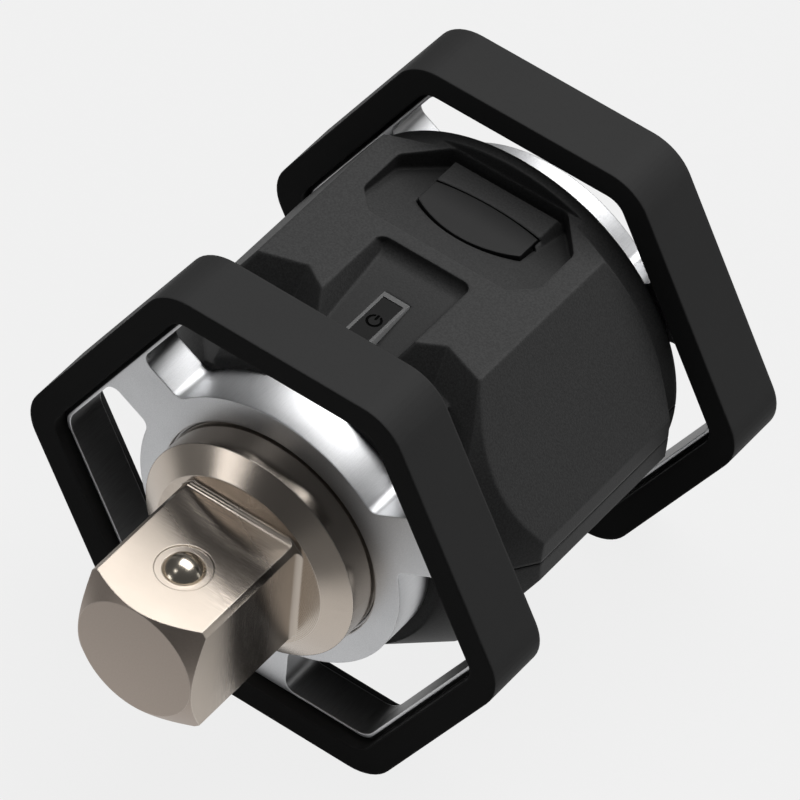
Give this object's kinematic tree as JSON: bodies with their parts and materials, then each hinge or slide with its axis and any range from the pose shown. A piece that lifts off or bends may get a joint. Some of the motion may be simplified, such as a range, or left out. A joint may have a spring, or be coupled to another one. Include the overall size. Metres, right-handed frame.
{
  "type": "digital torque adapter",
  "caption": "Electronic torque adapter: male square drive with ball detent, milled flanges in hexagonal bumper rings, black housing with power button and hinged port cover, female square at the rear.",
  "frame": {"origin": "centre of the flat end face of the male square drive, on the tool's axis", "axes": "+Y runs along the axis from the male square to the female square, +Z leaves through the top panel with the button, +X completes the right-handed set"},
  "size_m": [0.0788, 0.0943, 0.0702],
  "materials": {
    "shaft_steel": "fine turned and ground alloy steel, nickel plated",
    "bright_steel": "polished hardened steel",
    "spring_steel": "oiled spring steel",
    "milled_aluminium": "fine milled, clear anodised",
    "bumper_rubber": "matt moulded elastomer",
    "housing_plastic": "fine spark textured moulding",
    "key_plastic": "smooth satin key top",
    "frame_silver": "pale translucent light guide",
    "dome_silicone": "soft silicone",
    "cover_plastic": "smooth satin moulding",
    "port_shell": "drawn tinned sheet",
    "board_green": "solder mask over glass laminate",
    "component_black": "moulded component body",
    "light_lens": "milky lens",
    "cell_foil": "laminated pouch foil",
    "tray_plastic": "plain moulding",
    "gauge_foil": "amber polyimide film",
    "bush_bronze": "sintered bearing bronze",
    "seal_rubber": "nitrile rubber",
    "screw_steel": "zinc nickel plated"
  },
  "bodies": {
    "adapter": {"torque_shaft": "shaft_steel", "detent_spring": "spring_steel", "front_flange": "milled_aluminium", "rear_flange": "milled_aluminium", "front_bumper": "bumper_rubber", "rear_bumper": "bumper_rubber", "upper_housing": "housing_plastic", "lower_housing": "housing_plastic", "button_frame": "frame_silver", "button_dome": "dome_silicone", "hinge_pin": "bright_steel", "charging_port": "port_shell", "main_board": "board_green", "radio_module": "port_shell", "button_switch": "component_black", "status_light": "light_lens", "buzzer": "component_black", "battery_cell": "cell_foil", "battery_tray": "tray_plastic", "strain_gauges": "gauge_foil", "gauge_lead": "gauge_foil", "front_bush": "bush_bronze", "rear_bush": "bush_bronze", "front_seal": "seal_rubber", "rear_seal": "seal_rubber", "front_retaining_ring": "spring_steel", "rear_retaining_ring": "spring_steel", "seam_gasket": "seal_rubber", "housing_screws": "screw_steel", "board_screws": "screw_steel"},
    "key": {"power_button": "key_plastic"},
    "ball": {"detent_ball": "bright_steel"},
    "cover": {"port_cover": "cover_plastic"}
  },
  "joints": [
    {"name": "power_button_press", "type": "slide", "parent": "adapter", "child": "key", "axis": [0, 0, -1], "range_m": [0, 0.0006], "stiffness_N_per_m": 2500, "springref_m": -0.0004, "deforming": ["button_dome"]},
    {"name": "detent_ball_press", "type": "slide", "parent": "adapter", "child": "ball", "axis": [0, 0, -1], "range_m": [0, 0.0017], "stiffness_N_per_m": 6000, "springref_m": -0.0008, "deforming": ["detent_spring"]},
    {"name": "port_cover_hinge", "type": "hinge", "parent": "adapter", "child": "cover", "pos_m": [0, 0.07585, 0.0241], "axis": [-1, 0, 0], "range_deg": [0, 80]}
  ]
}
